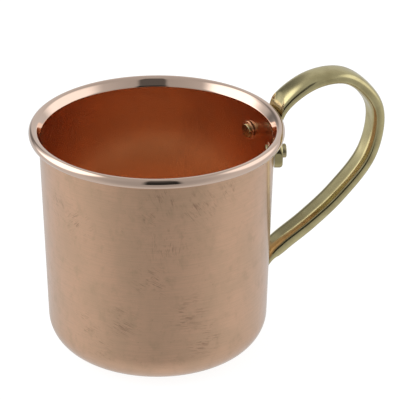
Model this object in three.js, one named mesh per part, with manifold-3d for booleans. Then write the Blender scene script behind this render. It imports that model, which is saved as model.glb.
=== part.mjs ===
// Copper mug with a riveted brass handle, millimetres, +Z up.
// The origin is the centre of the flat base, and the handle points along +X.
import * as THREE from 'three';
import { ParametricGeometry } from 'three/addons/geometries/ParametricGeometry.js';
import { mergeVertices } from 'three/addons/utils/BufferGeometryUtils.js';
import Module from 'manifold-3d';

const wasm = await Module();
wasm.setup();

// ---- driving dimensions -------------------------------------------------

// Cup shell
const RIM_HEIGHT = 86.9;          // top of the rolled rim
const SHEET = 1.0;                // thickness of the copper sheet
const WALL_TOP_RADIUS = 43;       // outside of the wall, just under the rim
const WALL_FOOT_RADIUS = 40.8;    // outside of the wall, where the bottom corner starts
const CORNER_RADIUS = 12.2;       // outside radius of the bottom corner
const CUP_SEGMENTS = 72;
const CORNER_STEPS = 8;

// Rolled rim: the wall flares out over a short cone and folds back down round a bead
const RIM_CREST_RADIUS = 45.3;    // distance of the rim's highest line from the axis
const RIM_HALF_WIDTH = 1.35;
const RIM_HALF_HEIGHT = 1.9;
const CREST_ROUND = 2.2;          // radius of the crest on the drinking side
const FLARE_HEIGHT = 3.5;         // from the rim's top down to the end of the flare
const FLARE_BEND = 1.5;           // radius of the bend from the wall into the cone
const FLARE_START = 144;          // degrees round both of these where they meet the cone
const FOLD_GROOVE = 0.5;          // open groove between the folded edge and the wall
const FOLD_GROOVE_DEPTH = 0.8;
const GROOVE_ROOF_RISE = 0.2;     // the groove's roof slopes up away from the wall
const FOLD_EDGE_LIFT = 0.3;       // the folded edge ends this far above the rim's underside
const RIM_SHOULDER = 1.0;         // the handle starts to clear the rim this far below it
const ROOT_RELIEF_WIDTH = 2.0;    // the handle is cut back beside and above the rim,
const ROOT_RELIEF_HEIGHT = 7.0;   // along a line this wide and this high
const RIM_STEPS = 10;
const CREST_STEPS = 4;
const FLARE_STEPS = 3;

// Rivets and washers
const RIVET_HEIGHT = 74.2;        // both upper rivets
const RIVET_ANGLE = 14;           // degrees either side of the handle's plane
const LOWER_RIVET_HEIGHT = 16.2;
const SHANK_RADIUS = 1.6;
const HOLE_RADIUS = 1.9;
const HEAD_RADIUS = 2.6;
const HEAD_CHAMFER = 0.4;
const INNER_HEAD = 1.1;           // thickness of the heads inside the cup
const UPPER_HEAD = 1.8;           // thickness of the heads on the cross bar
const LOWER_HEAD = 1.2;           // thickness of the head on the foot of the handle
const WASHER_RADIUS = 3.5;
const WASHER_THICKNESS = 0.5;
const WASHER_CHAMFER = 0.2;
const HOLE_MARGIN = 5;            // how far the drilled holes run past the rim's crest
const RIVET_SEGMENTS = 24;

// Handle: a cast bar, flat on the finger side and crowned on the other
const SEAT_GAP = 0.3;             // clearance between the handle and the cup
const CLAMP_GAP = 0.1;            // clearance under each rivet head and washer
const EDGE_HEIGHT = 2.0;          // height of the rounded edges of the flat face
const EDGE_SHARE = 0.4;           // but at most this share of the depth where the bar is thin
const EDGE_SPREAD = 1.6;          // width of those edges over their height
const SIDE_HEIGHT = 2.2;          // from the flat face to where the crown starts
const SIDE_SHARE = 0.45;          // but at most this share of the depth where the bar is thin
const CROWN_POWER = 2.5;          // 2 is an ellipse, more is squarer
const CROWN_STEPS = 10;
const EDGE_STEPS = 4;
const STEPS_PER_SPAN = 4;         // rings between two stations
const FOOT_THICKNESS = 1.2;       // where the bar is flattened against the wall

// The flat face from the cross bar, over the top and down to the foot:
// radius from the cup's axis, height, half width and crown depth.
const HANDLE_STATIONS = [
  { radius: 46.2, height: 73.5, halfWidth: 6.0, depth: 4.0 },
  { radius: 46.8, height: 78.5, halfWidth: 6.0, depth: 4.0 },
  { radius: 49.7, height: 86.0, halfWidth: 6.0, depth: 4.6 },
  { radius: 61.0, height: 93.2, halfWidth: 5.9, depth: 4.7 },
  { radius: 72.6, height: 93.4, halfWidth: 5.7, depth: 4.9 },
  { radius: 80.5, height: 87.2, halfWidth: 5.6, depth: 5.1 },
  { radius: 84.6, height: 79.2, halfWidth: 5.5, depth: 5.2 },
  { radius: 82.0, height: 63.8, halfWidth: 5.4, depth: 5.4 },
  { radius: 70.2, height: 49.6, halfWidth: 5.3, depth: 5.7 },
  { radius: 58.5, height: 40.2, halfWidth: 5.2, depth: 6.0 },
  { radius: 47.5, height: 33.0, halfWidth: 5.1, depth: 6.2 },
  { radius: 43.2, height: 29.2, halfWidth: 4.9, depth: 5.7 },
  { radius: 41.6, height: 24.5, halfWidth: 4.2, depth: 2.9 },
  { radius: 41.2, height: 20.0, halfWidth: 3.7, depth: FOOT_THICKNESS },
  { radius: 41.1, height: 16.5, halfWidth: 3.6, depth: FOOT_THICKNESS },
  { radius: 41.0, height: 14.0, halfWidth: 3.2, depth: FOOT_THICKNESS },
  { radius: 41.0, height: 12.6, halfWidth: 1.6, depth: FOOT_THICKNESS },
];

// Cross bar that carries the two upper rivets
const BAR_HALF_ANGLE = 22.5;      // degrees
const BAR_INNER_RADIUS = 42;      // before the cup's clearance is cut away
const BAR_OUTER_RADIUS = 46;
const BAR_HEIGHT = 10;
const BAR_BEVEL = 1.1;
const BAR_BEVEL_SEGMENTS = 3;
const BAR_CURVE_SEGMENTS = 14;

// ---- materials ----------------------------------------------------------

const copper = new THREE.MeshStandardMaterial({
  name: 'copper',
  color: 0xb98566,
  roughness: 0.35,
  metalness: 1,
});
const brass = new THREE.MeshStandardMaterial({
  name: 'brass',
  color: 0xa89d62,
  roughness: 0.25,
  metalness: 1,
});

// ---- helpers ------------------------------------------------------------

const point = (radius, height) => new THREE.Vector2(radius, height);
const radians = THREE.MathUtils.degToRad;

function toSolid(geometry) {
  const bare = geometry.clone();
  bare.deleteAttribute('normal');
  bare.deleteAttribute('uv');
  const merged = mergeVertices(bare, 1e-4);
  const index = merged.index.array;
  const kept = [];
  for (let i = 0; i < index.length; i += 3) {
    const [a, b, c] = [index[i], index[i + 1], index[i + 2]];
    if (a !== b && b !== c && c !== a) kept.push(a, b, c);
  }
  return new wasm.Manifold(new wasm.Mesh({
    numProp: 3,
    vertProperties: new Float32Array(merged.attributes.position.array),
    triVerts: new Uint32Array(kept),
  }));
}

function toGeometry(solid) {
  const mesh = solid.getMesh();
  const geometry = new THREE.BufferGeometry();
  geometry.setAttribute('position', new THREE.BufferAttribute(mesh.vertProperties, mesh.numProp));
  geometry.setIndex(new THREE.BufferAttribute(mesh.triVerts, 1));
  geometry.computeVertexNormals();
  return geometry;
}

// A profile of radius and height, turned about the Z axis
function turnedAboutZ(profile, segments) {
  return new THREE.LatheGeometry(profile, segments).rotateX(Math.PI / 2);
}

// A profile of radius and distance, turned about the X axis
function turnedAboutX(profile, segments) {
  return new THREE.LatheGeometry(profile, segments).rotateZ(-Math.PI / 2);
}

function arc(centre, radiusX, radiusY, fromDegrees, toDegrees, steps) {
  const points = [];
  for (let i = 0; i <= steps; i += 1) {
    const angle = radians(fromDegrees + ((toDegrees - fromDegrees) * i) / steps);
    points.push(point(centre.x + radiusX * Math.cos(angle), centre.y + radiusY * Math.sin(angle)));
  }
  return points;
}

// ---- cup ----------------------------------------------------------------

const rimCentreHeight = RIM_HEIGHT - RIM_HALF_HEIGHT;
const rimUnderside = rimCentreHeight - RIM_HALF_HEIGHT;

// Outside radius of the tapered wall at a height
function wallRadius(height) {
  const share = (height - CORNER_RADIUS) / (rimUnderside - CORNER_RADIUS);
  return THREE.MathUtils.lerp(WALL_FOOT_RADIUS, WALL_TOP_RADIUS, share);
}

// Bottom corner from the base to the wall, for either face of the sheet
function cornerArc(inset) {
  const centre = point(WALL_FOOT_RADIUS - CORNER_RADIUS, CORNER_RADIUS);
  const radius = CORNER_RADIUS - inset;
  return arc(centre, radius, radius, -90, 0, CORNER_STEPS);
}

function makeCup() {
  const rimCentre = point(RIM_CREST_RADIUS, rimCentreHeight);
  const crestCentre = point(RIM_CREST_RADIUS, RIM_HEIGHT - CREST_ROUND);
  const flareCentre = point(WALL_TOP_RADIUS - SHEET + FLARE_BEND, RIM_HEIGHT - FLARE_HEIGHT);
  const grooveTop = rimUnderside + FOLD_GROOVE_DEPTH;
  const profile = [
    point(0, 0),
    ...cornerArc(0),
    point(WALL_TOP_RADIUS, rimUnderside),
    point(WALL_TOP_RADIUS, grooveTop - GROOVE_ROOF_RISE),
    point(WALL_TOP_RADIUS + FOLD_GROOVE, grooveTop),
    point(WALL_TOP_RADIUS + FOLD_GROOVE, rimUnderside + FOLD_EDGE_LIFT),
    ...arc(rimCentre, RIM_HALF_WIDTH, RIM_HALF_HEIGHT, -90, 90, RIM_STEPS),
    ...arc(crestCentre, CREST_ROUND, CREST_ROUND, 90, FLARE_START, CREST_STEPS).slice(1),
    ...arc(flareCentre, FLARE_BEND, FLARE_BEND, FLARE_START, 180, FLARE_STEPS),
    ...cornerArc(SHEET).reverse(),
    point(0, SHEET),
  ];
  let cup = toSolid(turnedAboutZ(profile, CUP_SEGMENTS));
  for (const hole of rivetHoles()) cup = cup.subtract(hole);
  return toGeometry(cup);
}

// Space that the cup needs, with the seat gap all round
function makeCupClearance() {
  const rimCentre = point(RIM_CREST_RADIUS, rimCentreHeight);
  const halfWidth = RIM_HALF_WIDTH + SEAT_GAP;
  const halfHeight = RIM_HALF_HEIGHT + SEAT_GAP;
  const reliefTop = rimCentreHeight + ROOT_RELIEF_HEIGHT;
  const profile = [
    point(0, -SEAT_GAP),
    ...cornerArc(-SEAT_GAP),
    point(WALL_TOP_RADIUS + SEAT_GAP, rimUnderside - RIM_SHOULDER),
    ...arc(rimCentre, halfWidth, halfHeight, -90, 0, RIM_STEPS),
    point(RIM_CREST_RADIUS + halfWidth + ROOT_RELIEF_WIDTH, reliefTop),
    point(0, reliefTop),
  ];
  return toSolid(turnedAboutZ(profile, CUP_SEGMENTS));
}

// ---- handle -------------------------------------------------------------

// Outline of the bar: x across the bar, y away from the flat face
function barSection(halfWidth, depth) {
  const edge = Math.min(EDGE_HEIGHT, depth * EDGE_SHARE);
  const spread = edge * EDGE_SPREAD;
  const side = Math.min(SIDE_HEIGHT, depth * SIDE_SHARE);
  const outline = arc(point(halfWidth - spread, edge), spread, edge, -90, 0, EDGE_STEPS);
  for (let i = 0; i <= CROWN_STEPS; i += 1) {
    const angle = (Math.PI * i) / CROWN_STEPS;
    const across = Math.sign(Math.cos(angle)) * Math.abs(Math.cos(angle)) ** (2 / CROWN_POWER);
    const out = Math.sin(angle) ** (2 / CROWN_POWER);
    outline.push(point(halfWidth * across, side + (depth - side) * out));
  }
  outline.push(...arc(point(spread - halfWidth, edge), spread, edge, 180, 270, EDGE_STEPS));
  return outline;
}

// The bar lofted through its stations and closed at both ends
function makeHandleBar() {
  const path = new THREE.CatmullRomCurve3(
    HANDLE_STATIONS.map((s) => new THREE.Vector3(s.radius, 0, s.height)),
  );
  const sizes = new THREE.CatmullRomCurve3(
    HANDLE_STATIONS.map((s) => new THREE.Vector3(s.halfWidth, s.depth, 0)),
  );
  const steps = (HANDLE_STATIONS.length - 1) * STEPS_PER_SPAN;
  const rings = [];
  for (let i = 0; i <= steps; i += 1) {
    const origin = path.getPoint(i / steps);
    const along = path.getTangent(i / steps);
    const size = sizes.getPoint(i / steps);
    const crownward = new THREE.Vector3(-along.z, 0, along.x);
    rings.push(barSection(size.x, size.y).map((p) => new THREE.Vector3(0, p.x, 0)
      .addScaledVector(crownward, p.y)
      .add(origin)));
  }
  const middle = (ring) => ring
    .reduce((sum, p) => sum.add(p), new THREE.Vector3())
    .divideScalar(ring.length);
  const around = rings[0].length;
  const closed = [
    Array(around).fill(middle(rings[0])),
    ...rings,
    Array(around).fill(middle(rings[steps])),
  ];
  const place = (u, v, target) => {
    const ring = closed[Math.round(v * (closed.length - 1))];
    target.copy(ring[Math.round(u * around) % around]);
  };
  return new ParametricGeometry(place, around, closed.length - 1);
}

// Curved cross bar, an arc of a ring with bevelled edges
function makeCrossBar() {
  const half = radians(BAR_HALF_ANGLE);
  const outline = new THREE.Shape();
  outline.absarc(0, 0, BAR_OUTER_RADIUS, -half, half, false);
  outline.absarc(0, 0, BAR_INNER_RADIUS, half, -half, true);
  outline.closePath();
  const geometry = new THREE.ExtrudeGeometry(outline, {
    depth: BAR_HEIGHT - 2 * BAR_BEVEL,
    bevelThickness: BAR_BEVEL,
    bevelSize: BAR_BEVEL,
    bevelOffset: -BAR_BEVEL,
    bevelSegments: BAR_BEVEL_SEGMENTS,
    curveSegments: BAR_CURVE_SEGMENTS,
  });
  return geometry.translate(0, 0, RIVET_HEIGHT - BAR_HEIGHT / 2 + BAR_BEVEL);
}

function makeHandle() {
  let handle = toSolid(makeHandleBar()).add(toSolid(makeCrossBar()));
  handle = handle.subtract(makeCupClearance());
  for (const hole of rivetHoles()) handle = handle.subtract(hole);
  return toGeometry(handle);
}

// ---- rivets and washers -------------------------------------------------

// Angle about the cup's axis, in degrees, and height of each rivet
const UPPER_NEAR = { angle: -RIVET_ANGLE, height: RIVET_HEIGHT };
const UPPER_FAR = { angle: RIVET_ANGLE, height: RIVET_HEIGHT };
const LOWER = { angle: 0, height: LOWER_RIVET_HEIGHT };

function rivetHoles() {
  const reach = RIM_CREST_RADIUS + HOLE_MARGIN;
  const start = WALL_FOOT_RADIUS / 2;
  return [UPPER_NEAR, UPPER_FAR, LOWER].map((seat) => {
    const profile = [
      point(0, start),
      point(HOLE_RADIUS, start),
      point(HOLE_RADIUS, reach),
      point(0, reach),
    ];
    const hole = turnedAboutX(profile, RIVET_SEGMENTS);
    hole.translate(0, 0, seat.height);
    hole.rotateZ(radians(seat.angle));
    return toSolid(hole);
  });
}

// Distance from the cup's axis to the back of a washer, clear of the curved wall
function washerSeat(height) {
  const inside = wallRadius(height - WASHER_RADIUS) - SHEET;
  return Math.sqrt(inside ** 2 - WASHER_RADIUS ** 2) - CLAMP_GAP;
}

function makeWasher(height) {
  const back = washerSeat(height);
  const front = back - WASHER_THICKNESS;
  const profile = [
    point(HOLE_RADIUS, front),
    point(WASHER_RADIUS - WASHER_CHAMFER, front),
    point(WASHER_RADIUS, front + WASHER_CHAMFER),
    point(WASHER_RADIUS, back),
    point(HOLE_RADIUS, back),
    point(HOLE_RADIUS, front),
  ];
  return turnedAboutX(profile, RIVET_SEGMENTS);
}

// A shank with a flat chamfered head at each end
function makeRivet(height, outerSeat, outerHead) {
  const innerSeat = washerSeat(height) - WASHER_THICKNESS - CLAMP_GAP;
  const innerEnd = innerSeat - INNER_HEAD;
  const outerEnd = outerSeat + outerHead;
  const profile = [
    point(0, innerEnd),
    point(HEAD_RADIUS - HEAD_CHAMFER, innerEnd),
    point(HEAD_RADIUS, innerEnd + HEAD_CHAMFER),
    point(HEAD_RADIUS, innerSeat),
    point(SHANK_RADIUS, innerSeat),
    point(SHANK_RADIUS, outerSeat),
    point(HEAD_RADIUS, outerSeat),
    point(HEAD_RADIUS, outerEnd - HEAD_CHAMFER),
    point(HEAD_RADIUS - HEAD_CHAMFER, outerEnd),
    point(0, outerEnd),
  ];
  return turnedAboutX(profile, RIVET_SEGMENTS);
}

// ---- assembly -----------------------------------------------------------

function named(name, geometry, material) {
  const mesh = new THREE.Mesh(geometry, material);
  mesh.name = name;
  return mesh;
}

// A rivet and its washer, turned together to their place on the wall
function fastening(name, seat, outerSeat, outerHead) {
  const group = new THREE.Group();
  group.add(named(`${name}_rivet`, makeRivet(seat.height, outerSeat, outerHead), brass));
  group.add(named(`${name}_washer`, makeWasher(seat.height), copper));
  group.position.z = seat.height;
  group.rotation.z = radians(seat.angle);
  return group;
}

const footFace = wallRadius(LOWER_RIVET_HEIGHT) + SEAT_GAP + FOOT_THICKNESS + CLAMP_GAP;
const barFace = BAR_OUTER_RADIUS + CLAMP_GAP;

const mug = new THREE.Group();
mug.add(named('cup_body', makeCup(), copper));
mug.add(named('handle', makeHandle(), brass));
mug.add(fastening('upper_near', UPPER_NEAR, barFace, UPPER_HEAD));
mug.add(fastening('upper_far', UPPER_FAR, barFace, UPPER_HEAD));
mug.add(fastening('lower', LOWER, footFace, LOWER_HEAD));

export default mug;
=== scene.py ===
"""Looks of the copper mug: fine meshes, materials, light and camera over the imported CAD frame.

Metres, +Z up. The origin is the centre of the base and the handle points along +X.
"""

import math

import bmesh
import bpy
from mathutils import Matrix, Vector


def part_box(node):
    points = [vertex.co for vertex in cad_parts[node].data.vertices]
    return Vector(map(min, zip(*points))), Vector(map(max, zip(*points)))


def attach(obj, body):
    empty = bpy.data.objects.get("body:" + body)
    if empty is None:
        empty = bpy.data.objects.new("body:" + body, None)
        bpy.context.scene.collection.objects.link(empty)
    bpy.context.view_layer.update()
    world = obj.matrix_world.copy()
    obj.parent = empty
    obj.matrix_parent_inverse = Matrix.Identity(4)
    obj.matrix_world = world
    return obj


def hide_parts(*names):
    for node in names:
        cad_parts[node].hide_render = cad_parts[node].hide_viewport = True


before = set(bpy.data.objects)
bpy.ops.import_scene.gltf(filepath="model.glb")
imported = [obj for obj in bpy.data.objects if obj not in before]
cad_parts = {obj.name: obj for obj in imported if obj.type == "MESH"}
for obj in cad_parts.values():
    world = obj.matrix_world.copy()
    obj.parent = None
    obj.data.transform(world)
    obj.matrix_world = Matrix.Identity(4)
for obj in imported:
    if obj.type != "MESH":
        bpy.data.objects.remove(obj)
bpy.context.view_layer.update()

MM = 0.001
TINY = 1e-6

# ---- dimensions in millimetres that the boxes of the CAD nodes don't give ----

SHEET = 1.0
WALL_TOP_RADIUS = 43.0
WALL_FOOT_RADIUS = 40.8
CORNER_RADIUS = 12.2
RIM_HALF_WIDTH = 1.35
RIM_HALF_HEIGHT = 1.9
CREST_ROUND = 2.2
FLARE_HEIGHT = 3.5
FLARE_BEND = 1.5
FLARE_START = 144.0
FOLD_GROOVE = 0.5
FOLD_GROOVE_DEPTH = 0.8
FOLD_EDGE_LIFT = 0.3
CUP_SEGMENTS = 288
BASE_STEPS = 10
CORNER_STEPS = 24
WALL_STEPS = 30
BEAD_STEPS = 32
CREST_STEPS = 16
CONE_STEPS = 6
BEND_STEPS = 12
SHARP_ANGLE = 40.0           # degrees between faces, above which an edge stays sharp

SEAT_GAP = 0.3
RIM_SHOULDER = 1.0
ROOT_RELIEF_WIDTH = 2.0
ROOT_RELIEF_HEIGHT = 7.0
CLEARANCE_STEPS = 16
HOLE_RADIUS = 1.9
HOLE_MARGIN = 5.0            # how far a drill runs past the outer head of its rivet
SHANK_RADIUS = 1.6
MID_PLANE_MARGIN = 0.1       # a rivet this close to the handle's middle plane is on it
OUTER_HEADS = {"upper_near": 1.8, "upper_far": 1.8, "lower": 1.2}
INNER_HEAD = 1.1
HEAD_ROUND = 0.35
HEAD_DOME = 0.18
WASHER_ROUND = 0.15
TURNED_SEGMENTS = 64
HEAD_STEPS = 8
WASHER_STEPS = 6
TURNED_SHARP_ANGLE = 50.0

# The flat face of the bar from the cross bar, over the top and down to the foot:
# radius from the cup's axis, height, half width and crown depth.
HANDLE_STATIONS = [
    (46.2, 73.5, 6.0, 4.0),
    (46.8, 78.5, 6.0, 4.0),
    (49.7, 86.0, 6.0, 4.6),
    (61.0, 93.2, 5.9, 4.7),
    (72.6, 93.4, 5.7, 4.9),
    (80.5, 87.2, 5.6, 5.1),
    (84.6, 79.2, 5.5, 5.2),
    (82.0, 63.8, 5.4, 5.4),
    (70.2, 49.6, 5.3, 5.7),
    (58.5, 40.2, 5.2, 6.0),
    (47.5, 33.0, 5.1, 6.2),
    (43.2, 29.2, 4.9, 5.7),
    (41.6, 24.5, 4.2, 2.9),
    (41.2, 20.0, 3.7, 1.2),
    (41.1, 16.5, 3.6, 1.2),
    (41.0, 14.0, 3.2, 1.2),
    (41.0, 12.6, 1.6, 1.2),
]
EDGE_HEIGHT = 2.0
EDGE_SHARE = 0.4
EDGE_SPREAD = 1.6
SIDE_HEIGHT = 2.2
SIDE_SHARE = 0.45
CROWN_POWER = 2.5
CROWN_STEPS = 44
EDGE_STEPS = 12
FLAT_STEPS = 12
RINGS_PER_SPAN = 14
PATH_NUDGE = 0.01            # share of a span on each side, for the path's direction

BAR_HALF_ANGLE = 22.5
BAR_INNER_RADIUS = 42.0
BAR_OUTER_RADIUS = 46.0
BAR_HEIGHT = 10.0
BAR_ROUND = 1.3
BAR_END_ROUND = 3.6
BAR_CORNER_STEPS = 8
BAR_RINGS = 72
HANDLE_SHARP_ANGLE = 38.0

# ---- light and camera ----

CAMERA_AZIMUTH = 20.0        # degrees from -Y towards -X
CAMERA_ELEVATION = 26.753
CAMERA_DISTANCE = 1.0
CAMERA_AIM_HEIGHT = 0.045
CAMERA_LENS = 243.1
CAMERA_SENSOR = 36.0
CAMERA_YAW = 0.908           # small turns that frame the mug as in the photograph
CAMERA_PITCH = 0.594
CAMERA_ROLL = 0.339

# In the light, a fade is between two cosines of the angle from its middle, or, where it is
# level with the horizon, between two sines of the elevation.
TENT_LIGHT = 0.66            # brightness of the light tent's walls
FRONT_LIGHT = 0.42           # brightness round the opening that the camera looks through
FRONT_FADE = (0.2, 0.95)
CEILING_LIGHT = 0.5          # brightness straight overhead
CEILING_FADE = (0.55, 0.95)
SOFTBOXES = [                # degrees to the camera's left, elevation, half width, brightness
    (98.0, 24.0, 34.0, 2.0),
    (-100.0, 26.0, 26.0, 1.35),
]
SOFTBOX_FADE = (-0.1, 0.05)  # either side of the cosine of the half width
BACK_TURN = 139.0            # degrees to the camera's left, to the darker end of the tent
BACK_LIFT = 19.0
BACK_HALF_WIDTH = 22.0
BACK_LIGHT = 0.2
BACK_FADE = (-0.06, 0.06)
SLIT_LIGHT = 0.03            # in the opening, and near its top
SLIT_TOP_LIGHT = 0.12
SLIT_TOP_FADE = (0.5, 0.7)
SLIT_HALF_ANGLE = 15.5       # degrees
SLIT_TURN = 4.5              # degrees to the camera's right
SLIT_TOP = 72.0              # degrees above the horizon
SLIT_FOOT = -14.0
SLIT_SIDE_FADE = 0.07        # radians
SLIT_FOOT_FADE = (0.0, 0.03)
SLIT_HEAD_FADE = (-0.04, 0.02)
MAX_BOUNCES = 16
MIRROR_BOUNCES = 12          # light finds its way in and out of the cup over many reflections
FLOOR_SIZE = 6.0
FLOOR_GREY = 0.25
FLOOR_GLOW = 0.9


# ---- shapes ----------------------------------------------------------------


def arc(centre, radius_x, radius_y, start, end, steps):
    """Points of an arc between two angles in degrees."""
    points = []
    for i in range(steps + 1):
        angle = math.radians(start + (end - start) * i / steps)
        x = centre[0] + radius_x * math.cos(angle)
        y = centre[1] + radius_y * math.sin(angle)
        points.append((x, y))
    return points


def line(start, end, steps):
    """Points on a straight line, without its last point."""
    points = []
    for i in range(steps):
        share = i / steps
        x = start[0] + (end[0] - start[0]) * share
        y = start[1] + (end[1] - start[1]) * share
        points.append((x, y))
    return points


def turned(profile, segments, place):
    """A closed solid turned from a profile of (radius, along) that starts and ends on the axis.

    place takes (radius, angle, along) in millimetres and radians to a point.
    """
    mesh = bmesh.new()
    rings = []
    for radius, along in profile:
        if radius < TINY:
            rings.append([mesh.verts.new(place(0.0, 0.0, along))])
            continue
        ring = []
        for i in range(segments):
            angle = 2 * math.pi * i / segments
            ring.append(mesh.verts.new(place(radius, angle, along)))
        rings.append(ring)
    for lower, upper in zip(rings, rings[1:]):
        join_rings(mesh, lower, upper)
    if len(rings[0]) > 1:
        join_rings(mesh, rings[-1], rings[0])
    return mesh


def join_rings(mesh, lower, upper):
    """Faces between two rings of points, either of which may be a single point."""
    count = max(len(lower), len(upper))
    for i in range(count):
        corners = []
        for ring, step in ((lower, i), (lower, i + 1), (upper, i + 1), (upper, i)):
            corner = ring[step % len(ring)]
            if corner not in corners:
                corners.append(corner)
        mesh.faces.new(corners)


def about_z(radius, angle, along):
    """Place of a point turned about the cup's axis."""
    return Vector((radius * math.cos(angle), radius * math.sin(angle), along)) * MM


def finished(name, mesh, sharp_angle=SHARP_ANGLE):
    """The object made from a bmesh, with outward normals and smooth shading up to sharp_angle."""
    bmesh.ops.recalc_face_normals(mesh, faces=mesh.faces)
    data = bpy.data.meshes.new(name)
    mesh.to_mesh(data)
    mesh.free()
    data.shade_smooth()
    data.set_sharp_from_angle(angle=math.radians(sharp_angle))
    piece = bpy.data.objects.new(name, data)
    bpy.context.scene.collection.objects.link(piece)
    return piece


def combine(piece, tool, operation):
    """Joins tool to piece, or cuts it away, and removes tool."""
    modifier = piece.modifiers.new(operation, "BOOLEAN")
    modifier.operation = operation
    modifier.object = tool
    modifier.solver = "EXACT"
    shape = bpy.context.evaluated_depsgraph_get()
    cut = bpy.data.meshes.new_from_object(piece.evaluated_get(shape))
    piece.modifiers.clear()
    piece.data = cut
    bpy.data.objects.remove(tool)


def resharpen(piece, sharp_angle):
    """Smooth shading after a cut, with edges sharper than the angle kept."""
    piece.data.shade_smooth()
    piece.data.set_sharp_from_angle(angle=math.radians(sharp_angle))


# ---- cup ---------------------------------------------------------------------

cup_low, cup_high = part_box("cup_body")
RIM_HEIGHT = cup_high.z / MM
RIM_CREST_RADIUS = cup_high.y / MM - RIM_HALF_WIDTH
RIM_CENTRE = (RIM_CREST_RADIUS, RIM_HEIGHT - RIM_HALF_HEIGHT)
RIM_UNDERSIDE = RIM_HEIGHT - 2 * RIM_HALF_HEIGHT


def corner_arc(inset):
    """The bottom corner from the base to the wall, for either face of the sheet."""
    centre = (WALL_FOOT_RADIUS - CORNER_RADIUS, CORNER_RADIUS)
    radius = CORNER_RADIUS - inset
    return arc(centre, radius, radius, -90, 0, CORNER_STEPS)


def cup_profile():
    """Section of the sheet from the middle of the base, up outside and down inside."""
    outside = corner_arc(0)
    inside = corner_arc(SHEET)
    groove = RIM_UNDERSIDE + FOLD_GROOVE_DEPTH
    fold = WALL_TOP_RADIUS + FOLD_GROOVE
    bead = arc(RIM_CENTRE, RIM_HALF_WIDTH, RIM_HALF_HEIGHT, -90, 90, BEAD_STEPS)
    crest_centre = (RIM_CREST_RADIUS, RIM_HEIGHT - CREST_ROUND)
    crest = arc(crest_centre, CREST_ROUND, CREST_ROUND, 90, FLARE_START, CREST_STEPS)
    bend_centre = (WALL_TOP_RADIUS - SHEET + FLARE_BEND, RIM_HEIGHT - FLARE_HEIGHT)
    bend = arc(bend_centre, FLARE_BEND, FLARE_BEND, FLARE_START, 180, BEND_STEPS)
    profile = line((0, 0), outside[0], BASE_STEPS)
    profile += outside
    profile += line(outside[-1], (WALL_TOP_RADIUS, RIM_UNDERSIDE), WALL_STEPS)[1:]
    profile += [(WALL_TOP_RADIUS, RIM_UNDERSIDE), (WALL_TOP_RADIUS, groove)]
    profile += [(fold, groove), (fold, RIM_UNDERSIDE + FOLD_EDGE_LIFT)]
    profile += bead
    profile += crest[1:]
    profile += line(crest[-1], bend[0], CONE_STEPS)[1:]
    profile += bend
    profile += line(bend[-1], inside[-1], WALL_STEPS)[1:]
    profile += inside[::-1]
    profile += line(inside[0], (0, SHEET), BASE_STEPS)[1:]
    profile.append((0, SHEET))
    return profile


def make_cup():
    """The copper shell with its rolled rim and the holes for the rivets."""
    cup = finished("cup_shell", turned(cup_profile(), CUP_SEGMENTS, about_z))
    for seat in SEATS.values():
        combine(cup, hole_tool(seat), "DIFFERENCE")
    resharpen(cup, SHARP_ANGLE)
    return cup


def paint_inside(cup, material):
    """Gives the faces of the drinking side, below the flare, their own material."""
    cup.data.materials.append(material)
    for face in cup.data.polygons:
        middle = face.center / MM
        radius = math.hypot(middle.x, middle.y)
        if middle.z > RIM_HEIGHT - FLARE_HEIGHT:
            continue
        if middle.z > CORNER_RADIUS:
            share = (middle.z - CORNER_RADIUS) / (RIM_UNDERSIDE - CORNER_RADIUS)
            wall = WALL_FOOT_RADIUS + (WALL_TOP_RADIUS - WALL_FOOT_RADIUS) * share
            inside = radius < wall - SHEET / 2
        else:
            out = max(0.0, radius - WALL_FOOT_RADIUS + CORNER_RADIUS)
            inside = math.hypot(out, CORNER_RADIUS - middle.z) < CORNER_RADIUS - SHEET / 2
        if inside:
            face.material_index = 1


def clearance_tool():
    """The space that the cup needs inside the handle, with the seat gap all round."""
    corner = corner_arc(-SEAT_GAP)
    half_width = RIM_HALF_WIDTH + SEAT_GAP
    half_height = RIM_HALF_HEIGHT + SEAT_GAP
    relief_top = RIM_CENTRE[1] + ROOT_RELIEF_HEIGHT
    profile = [(0, -SEAT_GAP)]
    profile += corner
    profile += [(WALL_TOP_RADIUS + SEAT_GAP, RIM_UNDERSIDE - RIM_SHOULDER)]
    profile += arc(RIM_CENTRE, half_width, half_height, -90, 0, CLEARANCE_STEPS)
    profile += [(RIM_CREST_RADIUS + half_width + ROOT_RELIEF_WIDTH, relief_top)]
    profile += [(0, relief_top)]
    return finished("clearance", turned(profile, CUP_SEGMENTS, about_z))


# ---- rivets and washers --------------------------------------------------------


def seat_of(name):
    """Where a rivet sits, from the boxes of its CAD nodes: angle, height and its faces."""
    seat = {"name": name}
    for kind in ("rivet", "washer"):
        low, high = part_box(f"{name}_{kind}")
        middle = (low + high) / 2
        angle = math.atan2(middle.y, middle.x)
        if abs(middle.y) < MID_PLANE_MARGIN * MM:
            angle = 0.0
        radius = (high.z - low.z) / 2
        distance = math.hypot(middle.x, middle.y)
        spread = (high.x - low.x) - 2 * radius * abs(math.sin(angle))
        length = spread / math.cos(angle)
        seat["angle"] = angle
        seat["height"] = middle.z
        seat[f"{kind}_radius"] = radius / MM
        seat[f"{kind}_inner"] = (distance - length / 2) / MM
        seat[f"{kind}_outer"] = (distance + length / 2) / MM
    return seat


SEATS = {name: seat_of(name) for name in OUTER_HEADS}


def at_seat(seat):
    """Placing function for a piece turned about a rivet's axis."""
    outward = Matrix.Rotation(seat["angle"], 3, "Z")

    def place(radius, angle, along):
        point = Vector((along, radius * math.cos(angle), radius * math.sin(angle)))
        return outward @ (point * MM) + Vector((0, 0, seat["height"]))

    return place


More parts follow.
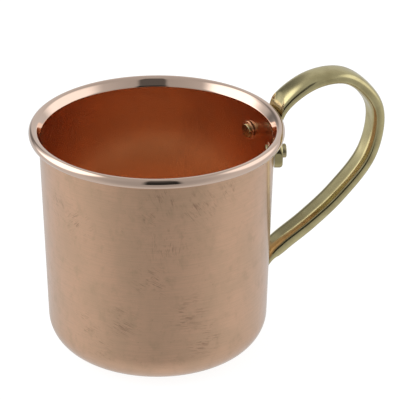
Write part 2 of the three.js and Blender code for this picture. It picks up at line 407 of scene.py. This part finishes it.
def hole_tool(seat):
    """A drill through the wall and the handle on a rivet's axis."""
    start = WALL_FOOT_RADIUS / 2
    end = seat["rivet_outer"] + HOLE_MARGIN
    profile = [(0, start), (HOLE_RADIUS, start), (HOLE_RADIUS, end), (0, end)]
    return finished("drill", turned(profile, TURNED_SEGMENTS, at_seat(seat)))


def head(radius, face, seat_face):
    """Half section of a rivet head from the middle of its domed face to its seat."""
    outward = 1 if face > seat_face else -1
    edge = face - outward * HEAD_DOME
    points = []
    for i in range(HEAD_STEPS + 1):
        share = i / HEAD_STEPS
        points.append(((radius - HEAD_ROUND) * share, face - outward * HEAD_DOME * share**2))
    centre = (radius - HEAD_ROUND, edge - outward * HEAD_ROUND)
    points += arc(centre, HEAD_ROUND, outward * HEAD_ROUND, 90, 0, HEAD_STEPS)[1:]
    points.append((radius, seat_face))
    return points


def make_rivet(seat):
    """A shank with a slightly domed head at each end."""
    radius = seat["rivet_radius"]
    inner, outer = seat["rivet_inner"], seat["rivet_outer"]
    inner_seat = inner + INNER_HEAD
    outer_seat = outer - OUTER_HEADS[seat["name"]]
    profile = head(radius, inner, inner_seat)
    profile += [(SHANK_RADIUS, inner_seat), (SHANK_RADIUS, outer_seat)]
    profile += head(radius, outer, outer_seat)[::-1]
    name = f"{seat['name']}_rivet_turned"
    return finished(name, turned(profile, TURNED_SEGMENTS, at_seat(seat)), TURNED_SHARP_ANGLE)


def make_washer(seat):
    """A flat ring between the inner head and the wall."""
    radius = seat["washer_radius"]
    front, back = seat["washer_inner"], seat["washer_outer"]
    corner = (radius - WASHER_ROUND, front + WASHER_ROUND)
    profile = [(HOLE_RADIUS, front)]
    profile += arc(corner, WASHER_ROUND, -WASHER_ROUND, 90, 0, WASHER_STEPS)
    profile += [(radius, back), (HOLE_RADIUS, back)]
    name = f"{seat['name']}_washer_turned"
    return finished(name, turned(profile, TURNED_SEGMENTS, at_seat(seat)), TURNED_SHARP_ANGLE)


# ---- handle ----------------------------------------------------------------------


def spline(stations, index, share):
    """Point on the centripetal Catmull-Rom curve through the stations, as in the CAD source."""
    last = len(stations) - 1
    second, third = stations[index], stations[index + 1]
    first = stations[index - 1] if index > 0 else second * 2 - third
    fourth = stations[index + 2] if index + 2 <= last else third * 2 - second
    gap_a = math.sqrt((second - first).length) or 1.0
    gap_b = math.sqrt((third - second).length) or 1.0
    gap_c = math.sqrt((fourth - third).length) or gap_b
    step = third - second
    leave = (second - first) / gap_a - (third - first) / (gap_a + gap_b) + step / gap_b
    arrive = step / gap_b - (fourth - second) / (gap_b + gap_c) + (fourth - third) / gap_c
    leave *= gap_b
    arrive *= gap_b
    cubic = (leave + arrive - step * 2) * share**3
    square = (step * 3 - leave * 2 - arrive) * share**2
    return second + leave * share + square + cubic


def bar_section(half_width, depth):
    """Outline of the bar: x across, y away from the flat face on the finger side."""
    edge = min(EDGE_HEIGHT, depth * EDGE_SHARE)
    spread = edge * EDGE_SPREAD
    side = min(SIDE_HEIGHT, depth * SIDE_SHARE)
    outline = arc((half_width - spread, edge), spread, edge, -90, 0, EDGE_STEPS)
    for i in range(CROWN_STEPS + 1):
        angle = math.pi * i / CROWN_STEPS
        across = abs(math.cos(angle)) ** (2 / CROWN_POWER)
        out = math.sin(angle) ** (2 / CROWN_POWER) if 0 < i < CROWN_STEPS else 0.0
        outline.append(
            (math.copysign(half_width * across, math.cos(angle)), side + (depth - side) * out)
        )
    outline += arc((spread - half_width, edge), spread, edge, 180, 270, EDGE_STEPS)
    outline += line(outline[-1], outline[0], FLAT_STEPS)[1:]
    return outline


def bar_ring(origin, along, half_width, depth):
    """The bar's outline set square to its path."""
    crownward = Vector((-along.y, along.x))
    ring = []
    for across, out in bar_section(half_width, depth):
        point = origin + crownward * out
        ring.append(Vector((point.x, across, point.y)) * MM)
    return ring


def make_bar():
    """The bar lofted through its stations and closed at both ends."""
    path = [Vector((radius, height)) for radius, height, _, _ in HANDLE_STATIONS]
    sizes = [Vector((half_width, depth)) for _, _, half_width, depth in HANDLE_STATIONS]
    mesh = bmesh.new()
    rings = []
    for index in range(len(path) - 1):
        count = RINGS_PER_SPAN + (1 if index == len(path) - 2 else 0)
        for step in range(count):
            share = step / RINGS_PER_SPAN
            origin = spline(path, index, share)
            ahead = spline(path, index, share + PATH_NUDGE)
            behind = spline(path, index, share - PATH_NUDGE)
            size = spline(sizes, index, share)
            ring = bar_ring(origin, (ahead - behind).normalized(), size.x, size.y)
            rings.append([mesh.verts.new(point) for point in ring])
    for lower, upper in zip(rings, rings[1:]):
        join_rings(mesh, lower, upper)
    for ring in (rings[0], rings[-1]):
        mesh.faces.new(ring)
    return finished("handle_bar", mesh)


def make_cross_bar():
    """The curved bar under the rim, with rounded edges and corners."""
    height = SEATS["upper_near"]["height"] / MM
    middle = (BAR_INNER_RADIUS + BAR_OUTER_RADIUS) / 2
    half_depth = (BAR_OUTER_RADIUS - BAR_INNER_RADIUS) / 2
    half_height = BAR_HEIGHT / 2
    reach = math.radians(BAR_HALF_ANGLE) * BAR_OUTER_RADIUS
    straight = reach - BAR_END_ROUND
    mesh = bmesh.new()
    rings = []
    for i in range(BAR_RINGS + 1):
        run = -reach * math.cos(math.pi * i / BAR_RINGS)
        past = max(0.0, abs(run) - straight) / BAR_END_ROUND
        drop = 1 - math.sqrt(max(0.0, 1 - past**2))
        tall = half_height - BAR_END_ROUND * drop
        angle = run / BAR_OUTER_RADIUS
        outline = []
        for x, y, start in ((1, 1, 0), (-1, 1, 90), (-1, -1, 180), (1, -1, 270)):
            centre = (x * (half_depth - BAR_ROUND), y * (tall - BAR_ROUND))
            outline += arc(centre, BAR_ROUND, BAR_ROUND, start, start + 90, BAR_CORNER_STEPS)
        ring = []
        for out, up in outline:
            ring.append(mesh.verts.new(about_z(middle + out, angle, height + up)))
        rings.append(ring)
    for lower, upper in zip(rings, rings[1:]):
        join_rings(mesh, lower, upper)
    for ring in (rings[0], rings[-1]):
        mesh.faces.new(ring)
    return finished("cross_bar", mesh)


def make_handle():
    """The cast handle: bar and cross bar as one, cut clear of the cup and drilled."""
    handle = make_bar()
    handle.name = "handle_cast"
    combine(handle, make_cross_bar(), "UNION")
    combine(handle, clearance_tool(), "DIFFERENCE")
    for seat in SEATS.values():
        combine(handle, hole_tool(seat), "DIFFERENCE")
    resharpen(handle, HANDLE_SHARP_ANGLE)
    return handle


# ---- materials ---------------------------------------------------------------------


class Nodes:
    """Short calls for the nodes of a material or of the world."""

    def __init__(self, tree):
        self.nodes = tree.nodes
        self.links = tree.links

    def feed(self, socket, value):
        """Links a socket, or sets a plain value, on an input."""
        if isinstance(value, bpy.types.NodeSocket):
            self.links.new(value, socket)
        else:
            socket.default_value = value

    def remap(self, value, low, high, to_low, to_high):
        """value taken smoothly from low..high to to_low..to_high."""
        node = self.nodes.new("ShaderNodeMapRange")
        node.interpolation_type = "SMOOTHSTEP"
        self.feed(node.inputs["Value"], value)
        node.inputs["From Min"].default_value = low
        node.inputs["From Max"].default_value = high
        node.inputs["To Min"].default_value = to_low
        node.inputs["To Max"].default_value = to_high
        return node.outputs["Result"]

    def math(self, operation, first, second):
        """Math of two values."""
        node = self.nodes.new("ShaderNodeMath")
        node.operation = operation
        self.feed(node.inputs[0], first)
        self.feed(node.inputs[1], second)
        return node.outputs["Value"]

    def measure(self, operation, first, second):
        """The number that a vector operation makes of a linked vector and a fixed one."""
        node = self.nodes.new("ShaderNodeVectorMath")
        node.operation = operation
        self.links.new(first, node.inputs[0])
        node.inputs[1].default_value = second
        return node.outputs["Value"]


class Metal(Nodes):
    """A metal material."""

    def __init__(self, name):
        self.material = bpy.data.materials.new(name)
        self.material.use_nodes = True
        super().__init__(self.material.node_tree)
        self.surface = self.nodes["Principled BSDF"]
        self.surface.inputs["Metallic"].default_value = 1.0
        self.place = self.nodes.new("ShaderNodeTexCoord").outputs["Object"]

    def stretched(self, scale, turn=(0, 0, 0), centre=(0, 0, 0)):
        """Object coordinates, moved, turned and scaled, in units of one millimetre."""
        moved = self.nodes.new("ShaderNodeMapping")
        moved.vector_type = "TEXTURE"
        self.links.new(self.place, moved.inputs["Vector"])
        moved.inputs["Location"].default_value = [c * MM for c in centre]
        moved.inputs["Rotation"].default_value = [math.radians(t) for t in turn]
        moved.inputs["Scale"].default_value = [s * MM for s in scale]
        return moved.outputs["Vector"]

    def noise(self, vector, detail=2.0, roughness=0.5, distortion=0.0):
        """Noise with features about one unit of the vector across."""
        node = self.nodes.new("ShaderNodeTexNoise")
        self.links.new(vector, node.inputs["Vector"])
        node.inputs["Scale"].default_value = 1.0
        node.inputs["Detail"].default_value = detail
        node.inputs["Roughness"].default_value = roughness
        node.inputs["Distortion"].default_value = distortion
        return node.outputs["Fac"]

    def mix(self, factor, first, second):
        """Value between first and second."""
        node = self.nodes.new("ShaderNodeMix")
        self.feed(node.inputs["Factor"], factor)
        self.feed(node.inputs["A"], first)
        self.feed(node.inputs["B"], second)
        return node.outputs["Result"]

    def tint(self, factor, first, second):
        """Colour between first and second."""
        node = self.nodes.new("ShaderNodeMix")
        node.data_type = "RGBA"
        self.feed(node.inputs["Factor"], factor)
        for name, colour in (("A", first), ("B", second)):
            socket = next(s for s in node.inputs if s.name == name and s.type == "RGBA")
            linked = isinstance(colour, bpy.types.NodeSocket)
            self.feed(socket, colour if linked else (*colour, 1.0))
        return next(s for s in node.outputs if s.type == "RGBA")

    def height_above(self, low, high):
        """0 below a height and 1 above it, in millimetres."""
        split = self.nodes.new("ShaderNodeSeparateXYZ")
        self.links.new(self.place, split.inputs["Vector"])
        return self.remap(split.outputs["Z"], low * MM, high * MM, 0.0, 1.0)

    def near(self, centre, radius):
        """1 at a point, falling to 0 at a radius, in millimetres."""
        away = self.measure("DISTANCE", self.place, [c * MM for c in centre])
        return self.remap(away, 0.0, radius * MM, 1.0, 0.0)

    def bump(self, height, distance, normal=None):
        """Relief of a height of 0 to 1, distance millimetres deep."""
        node = self.nodes.new("ShaderNodeBump")
        node.inputs["Strength"].default_value = 1.0
        node.inputs["Distance"].default_value = distance * MM
        self.links.new(height, node.inputs["Height"])
        if normal is not None:
            self.links.new(normal, node.inputs["Normal"])
        return node.outputs["Normal"]

    def finish(self, colour, roughness, normal):
        """Joins the three results to the surface."""
        self.links.new(colour, self.surface.inputs["Base Color"])
        self.links.new(roughness, self.surface.inputs["Roughness"])
        self.links.new(normal, self.surface.inputs["Normal"])
        return self.material


COPPER = (0.79, 0.49, 0.32)
COPPER_CLOUD = (0.71, 0.455, 0.295)
COPPER_PATCH = (0.56, 0.38, 0.24)
COPPER_BRUSH = (0.56, 0.37, 0.24)
COPPER_SPECK = (0.42, 0.25, 0.16)
COPPER_SCUFF = (0.34, 0.19, 0.12)
COPPER_RIM = (0.76, 0.57, 0.46)
COAT_WEIGHT = 0.7            # the bloom of old polish on the outside
COAT_ROUGHNESS = 0.08
INSIDE = (0.87, 0.63, 0.465)
INSIDE_CLOUD = (0.80, 0.565, 0.41)
INSIDE_SPECK = (0.45, 0.24, 0.14)
INSIDE_ANISOTROPY = 0.95
WASHER = (0.78, 0.47, 0.32)
WASHER_CLOUD = (0.58, 0.33, 0.21)
HANDLE_BRASS = (0.60, 0.53, 0.285)
HANDLE_BRASS_CLOUD = (0.49, 0.42, 0.215)
RIVET_BRASS = (0.54, 0.47, 0.28)
RIVET_BRASS_CLOUD = (0.38, 0.32, 0.18)
BRASS_SPECK = (0.30, 0.24, 0.10)

RIM_FADE = (-0.3, 0.6)       # heights from the rim's underside where its polish starts

SCUFF_DISTANCE = 42.0        # from the cup's axis
SCUFF_STROKE = (2.5, 0.35, 4.0)
SCUFF_REACH = 1.4            # how far the strokes fade out, as a share of the mark's radius
# Handling marks on the shell: degrees round the cup, height, radius and slant of the strokes
SCUFFS = [
    (-107, 77, 6, 70),
    (-114, 69, 5, 40),
    (-89, 73, 8, 55),
    (-75, 77, 5, 60),
    (-106, 59, 8, 88),
    (-152, 63, 7, -40),
    (-166, 66, 6, 50),
    (-113, 44, 7, 30),
    (-95, 31, 8, 5),
    (-128, 27, 7, 25),
    (-148, 23, 6, 15),
    (-86, 19, 8, 10),
    (-140, 14, 6, 20),
    (-20, 40, 10, 60),
    (60, 40, 11, 30),
    (110, 64, 9, 70),
    (170, 30, 10, 20),
]


def scuff_marks(metal):
    """Clusters of short dull strokes left by fingers and cloths."""
    total = 0.0
    for turn, height, radius, slant in SCUFFS:
        angle = math.radians(turn)
        x = SCUFF_DISTANCE * math.cos(angle)
        y = SCUFF_DISTANCE * math.sin(angle)
        centre = (x, y, height)
        across = metal.stretched(SCUFF_STROKE, (90 - slant, 0, turn), centre)
        strokes = metal.noise(across, 2.0, 0.6, 0.3)
        strokes = metal.remap(strokes, 0.5, 0.62, 0.0, 1.0)
        here = metal.near(centre, radius * SCUFF_REACH)
        total = metal.math("MAXIMUM", total, metal.math("MULTIPLY", strokes, here))
    worn = metal.noise(metal.stretched((3.5, 3.5, 3.5)), 2.0, 0.6)
    return metal.math("MULTIPLY", total, metal.remap(worn, 0.42, 0.6, 0.0, 1.0))


def copper_shell():
    """Satin copper, finely spun, with a polished rim, tarnish clouds and handling marks."""
    metal = Metal("copper_shell")
    clouds = metal.noise(metal.stretched((16, 16, 20)), 4.0, 0.6, 0.6)
    patches = metal.noise(metal.stretched((5, 5, 7)), 4.0, 0.65)
    specks = metal.noise(metal.stretched((1.1, 1.1, 1.1)), 3.0, 0.7)
    brushed = metal.noise(metal.stretched((9, 9, 0.28)), 3.0, 0.6)
    fine = metal.noise(metal.stretched((5, 5, 0.1)), 2.0, 0.6)
    scuffs = scuff_marks(metal)
    rim = metal.height_above(RIM_UNDERSIDE + RIM_FADE[0], RIM_UNDERSIDE + RIM_FADE[1])

    colour = metal.tint(metal.remap(clouds, 0.35, 0.68, 0, 1), COPPER, COPPER_CLOUD)
    colour = metal.tint(metal.remap(patches, 0.5, 0.75, 0, 0.5), colour, COPPER_PATCH)
    colour = metal.tint(metal.remap(brushed, 0.35, 0.7, 0, 0.3), colour, COPPER_BRUSH)
    colour = metal.tint(metal.remap(specks, 0.62, 0.75, 0, 0.35), colour, COPPER_SPECK)
    colour = metal.tint(metal.math("MULTIPLY", scuffs, 0.7), colour, COPPER_SCUFF)
    colour = metal.tint(rim, colour, COPPER_RIM)

    rough = metal.remap(patches, 0.3, 0.75, 0.3, 0.4)
    rough = metal.math("ADD", rough, metal.math("MULTIPLY", scuffs, 0.12))
    polished = metal.remap(specks, 0.3, 0.8, 0.03, 0.08)
    rough = metal.mix(rim, rough, polished)

    waves = metal.noise(metal.stretched((14, 14, 18)), 1.0, 0.4)
    normal = metal.bump(waves, 0.05)
    normal = metal.bump(brushed, 0.004, normal)
    normal = metal.bump(fine, 0.0015, normal)
    normal = metal.bump(scuffs, 0.01, normal)
    metal.surface.inputs["Coat Weight"].default_value = COAT_WEIGHT
    metal.surface.inputs["Coat Roughness"].default_value = COAT_ROUGHNESS
    return metal.finish(colour, rough, normal)


def copper_inside():
    """Brighter, redder copper, brushed round the cup so that its lights run up and down."""
    metal = Metal("copper_inside")
    clouds = metal.noise(metal.stretched((12, 12, 18)), 4.0, 0.6, 0.4)
    specks = metal.noise(metal.stretched((1.0, 1.0, 1.0)), 3.0, 0.7)
    brushed = metal.noise(metal.stretched((9, 9, 0.25)), 3.0, 0.6)
    colour = metal.tint(metal.remap(clouds, 0.35, 0.68, 0, 1), INSIDE, INSIDE_CLOUD)
    colour = metal.tint(metal.remap(specks, 0.6, 0.75, 0, 0.35), colour, INSIDE_SPECK)
    rough = metal.remap(clouds, 0.3, 0.75, 0.17, 0.22)
    rough = metal.math("ADD", rough, metal.remap(brushed, 0.4, 0.8, 0.0, 0.04))
    waves = metal.noise(metal.stretched((8, 8, 90)), 1.0, 0.4)
    normal = metal.bump(waves, 0.12)
    normal = metal.bump(brushed, 0.0008, normal)
    around = metal.nodes.new("ShaderNodeTangent")
    around.direction_type = "RADIAL"
    around.axis = "Z"
    metal.links.new(around.outputs["Tangent"], metal.surface.inputs["Tangent"])
    metal.surface.inputs["Anisotropic"].default_value = INSIDE_ANISOTROPY
    return metal.finish(colour, rough, normal)


def brass(name, clean, cloudy, rough_low, rough_high):
    """Polished cast brass with faint pits, cloudy tarnish and fine polishing scratches."""
    metal = Metal(name)
    clouds = metal.noise(metal.stretched((7, 7, 7)), 4.0, 0.6, 0.4)
    specks = metal.noise(metal.stretched((0.9, 0.9, 0.9)), 3.0, 0.7)
    scratches = metal.noise(metal.stretched((1.6, 0.18, 1.6)), 3.0, 0.6)
    colour = metal.tint(metal.remap(clouds, 0.35, 0.7, 0, 1), clean, cloudy)
    colour = metal.tint(metal.remap(specks, 0.6, 0.75, 0, 0.4), colour, BRASS_SPECK)
    rough = metal.remap(clouds, 0.3, 0.7, rough_low, rough_high)
    rough = metal.math("ADD", rough, metal.remap(scratches, 0.5, 0.8, 0.0, 0.06))
    waves = metal.noise(metal.stretched((6, 6, 6)), 1.0, 0.4)
    normal = metal.bump(waves, 0.05)
    normal = metal.bump(scratches, 0.0015, normal)
    normal = metal.bump(specks, 0.003, normal)
    return metal.finish(colour, rough, normal)


def copper_washer():
    """Plain satin copper for the washers."""
    metal = Metal("copper_washers")
    clouds = metal.noise(metal.stretched((1.5, 1.5, 1.5)), 4.0, 0.6)
    colour = metal.tint(metal.remap(clouds, 0.35, 0.7, 0, 1), WASHER, WASHER_CLOUD)
    rough = metal.remap(clouds, 0.3, 0.7, 0.18, 0.34)
    return metal.finish(colour, rough, metal.bump(clouds, 0.02))


# ---- surroundings --------------------------------------------------------------------


def camera_direction():
    """Level unit vector from the mug towards the camera."""
    turn = math.radians(CAMERA_AZIMUTH)
    return Vector((-math.sin(turn), -math.cos(turn), 0.0))


def make_camera():
    """The camera at the photograph's viewing angle."""
    lift = math.radians(CAMERA_ELEVATION)
    toward = camera_direction() * math.cos(lift) + Vector((0, 0, math.sin(lift)))
    forward = -toward
    right = forward.cross(Vector((0, 0, 1))).normalized()
    up = right.cross(forward)
    turns = (
        Matrix.Rotation(math.radians(CAMERA_ROLL), 3, "Z")
        @ Matrix.Rotation(math.radians(CAMERA_PITCH), 3, "X")
        @ Matrix.Rotation(math.radians(-CAMERA_YAW), 3, "Y")
    )
    right, up, forward = turns @ Matrix((right, up, forward))
    data = bpy.data.cameras.new("camera")
    data.lens = CAMERA_LENS
    data.sensor_width = CAMERA_SENSOR
    data.clip_start = 0.01
    data.clip_end = 50.0
    camera = bpy.data.objects.new("camera", data)
    bpy.context.scene.collection.objects.link(camera)
    place = Matrix((right, up, -forward)).transposed().to_4x4()
    place.translation = Vector((0, 0, CAMERA_AIM_HEIGHT)) + toward * CAMERA_DISTANCE
    camera.matrix_world = place
    bpy.context.scene.camera = camera


def direction_of(turn, lift):
    """Unit vector to a place in the tent: degrees to the camera's left, and elevation."""
    level = Matrix.Rotation(math.radians(-turn), 3, "Z") @ camera_direction()
    rise = math.radians(lift)
    return level * math.cos(rise) + Vector((0, 0, math.sin(rise)))


def opening(tree, direction):
    """0 in the tall dark opening that the camera looks through, and 1 outside it."""
    ahead = direction_of(-SLIT_TURN, 0)
    side = Vector((-ahead.y, ahead.x, 0))
    along_side = tree.measure("DOT_PRODUCT", direction, side)
    along_ahead = tree.measure("DOT_PRODUCT", direction, ahead)
    height = tree.measure("DOT_PRODUCT", direction, (0, 0, 1))
    turned_by = tree.math("ARCTAN2", along_side, along_ahead)
    off_middle = tree.math("ABSOLUTE", turned_by, 0.0)
    half = math.radians(SLIT_HALF_ANGLE)
    beside = tree.remap(off_middle, half - SLIT_SIDE_FADE, half + SLIT_SIDE_FADE, 0.0, 1.0)
    foot = math.sin(math.radians(SLIT_FOOT))
    below = tree.remap(height, foot + SLIT_FOOT_FADE[0], foot + SLIT_FOOT_FADE[1], 1.0, 0.0)
    top = math.sin(math.radians(SLIT_TOP))
    above = tree.remap(height, top + SLIT_HEAD_FADE[0], top + SLIT_HEAD_FADE[1], 0.0, 1.0)
    return tree.math("MAXIMUM", tree.math("MAXIMUM", beside, below), above)


def make_world():
    """A white light tent, dimmer overhead and at one end, with a dark opening and softboxes."""
    world = bpy.data.worlds.new("light_tent")
    bpy.context.scene.world = world
    world.use_nodes = True
    tree = Nodes(world.node_tree)
    direction = tree.nodes.new("ShaderNodeTexCoord").outputs["Generated"]
    toward_camera = tree.measure("DOT_PRODUCT", direction, camera_direction())
    height = tree.measure("DOT_PRODUCT", direction, (0, 0, 1))

    light = tree.remap(toward_camera, *FRONT_FADE, TENT_LIGHT, FRONT_LIGHT)
    overhead = tree.remap(height, *CEILING_FADE, 1.0, CEILING_LIGHT / TENT_LIGHT)
    light = tree.math("MULTIPLY", light, overhead)
    for turn, lift, half_width, brightness in SOFTBOXES:
        toward = tree.measure("DOT_PRODUCT", direction, direction_of(turn, lift))
        edge = math.cos(math.radians(half_width))
        low, high = edge + SOFTBOX_FADE[0], edge + SOFTBOX_FADE[1]
        glow = tree.remap(toward, low, high, 0.0, brightness - TENT_LIGHT)
        light = tree.math("ADD", light, glow)
    toward = tree.measure("DOT_PRODUCT", direction, direction_of(BACK_TURN, BACK_LIFT))
    edge = math.cos(math.radians(BACK_HALF_WIDTH))
    low, high = edge + BACK_FADE[0], edge + BACK_FADE[1]
    far_end = tree.remap(toward, low, high, 1.0, BACK_LIGHT / TENT_LIGHT)
    light = tree.math("MULTIPLY", light, far_end)

    light = tree.math("MULTIPLY", light, opening(tree, direction))
    in_slit = tree.remap(height, *SLIT_TOP_FADE, SLIT_LIGHT, SLIT_TOP_LIGHT)
    light = tree.math("MAXIMUM", light, in_slit)

    seen = tree.nodes.new("ShaderNodeLightPath").outputs["Is Camera Ray"]
    light = tree.math("MAXIMUM", light, seen)
    background = tree.nodes["Background"]
    tree.feed(background.inputs["Strength"], light)
    background.inputs["Color"].default_value = (1.0, 1.0, 1.0, 1.0)


def make_floor():
    """A plain white floor that glows a little, so that shadows on it stay pale."""
    half = FLOOR_SIZE / 2
    mesh = bmesh.new()
    corners = []
    for x, y in ((-half, -half), (half, -half), (half, half), (-half, half)):
        corners.append(mesh.verts.new((x, y, 0)))
    mesh.faces.new(corners)
    floor = finished("floor", mesh)
    material = bpy.data.materials.new("pale_floor")
    material.use_nodes = True
    surface = material.node_tree.nodes["Principled BSDF"]
    surface.inputs["Base Color"].default_value = (FLOOR_GREY, FLOOR_GREY, FLOOR_GREY, 1.0)
    surface.inputs["Roughness"].default_value = 1.0
    surface.inputs["Specular IOR Level"].default_value = 0.0
    surface.inputs["Emission Color"].default_value = (1.0, 1.0, 1.0, 1.0)
    surface.inputs["Emission Strength"].default_value = FLOOR_GLOW
    floor.data.materials.append(material)
    floor.visible_glossy = False
    floor.visible_diffuse = False


# ---- assembly ------------------------------------------------------------------------


def install(piece, nodes, material):
    """Gives a piece its material, hangs it under the root body and hides the CAD nodes that it
    stands for.
    """
    piece.data.materials.clear()
    piece.data.materials.append(material)
    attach(piece, "root")
    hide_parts(*nodes)


make_camera()
make_world()
make_floor()

rivet_brass = brass("brass_rivets", RIVET_BRASS, RIVET_BRASS_CLOUD, 0.16, 0.28)
washer_copper = copper_washer()
cup = make_cup()
install(cup, ["cup_body"], copper_shell())
paint_inside(cup, copper_inside())
install(
    make_handle(),
    ["handle"],
    brass("brass_handle", HANDLE_BRASS, HANDLE_BRASS_CLOUD, 0.12, 0.22),
)
for seat in SEATS.values():
    install(make_rivet(seat), [f"{seat['name']}_rivet"], rivet_brass)
    install(make_washer(seat), [f"{seat['name']}_washer"], washer_copper)

bpy.context.scene.cycles.max_bounces = MAX_BOUNCES
bpy.context.scene.cycles.glossy_bounces = MIRROR_BOUNCES

view = bpy.context.scene.view_settings
view.view_transform = "Standard"
view.look = "None"
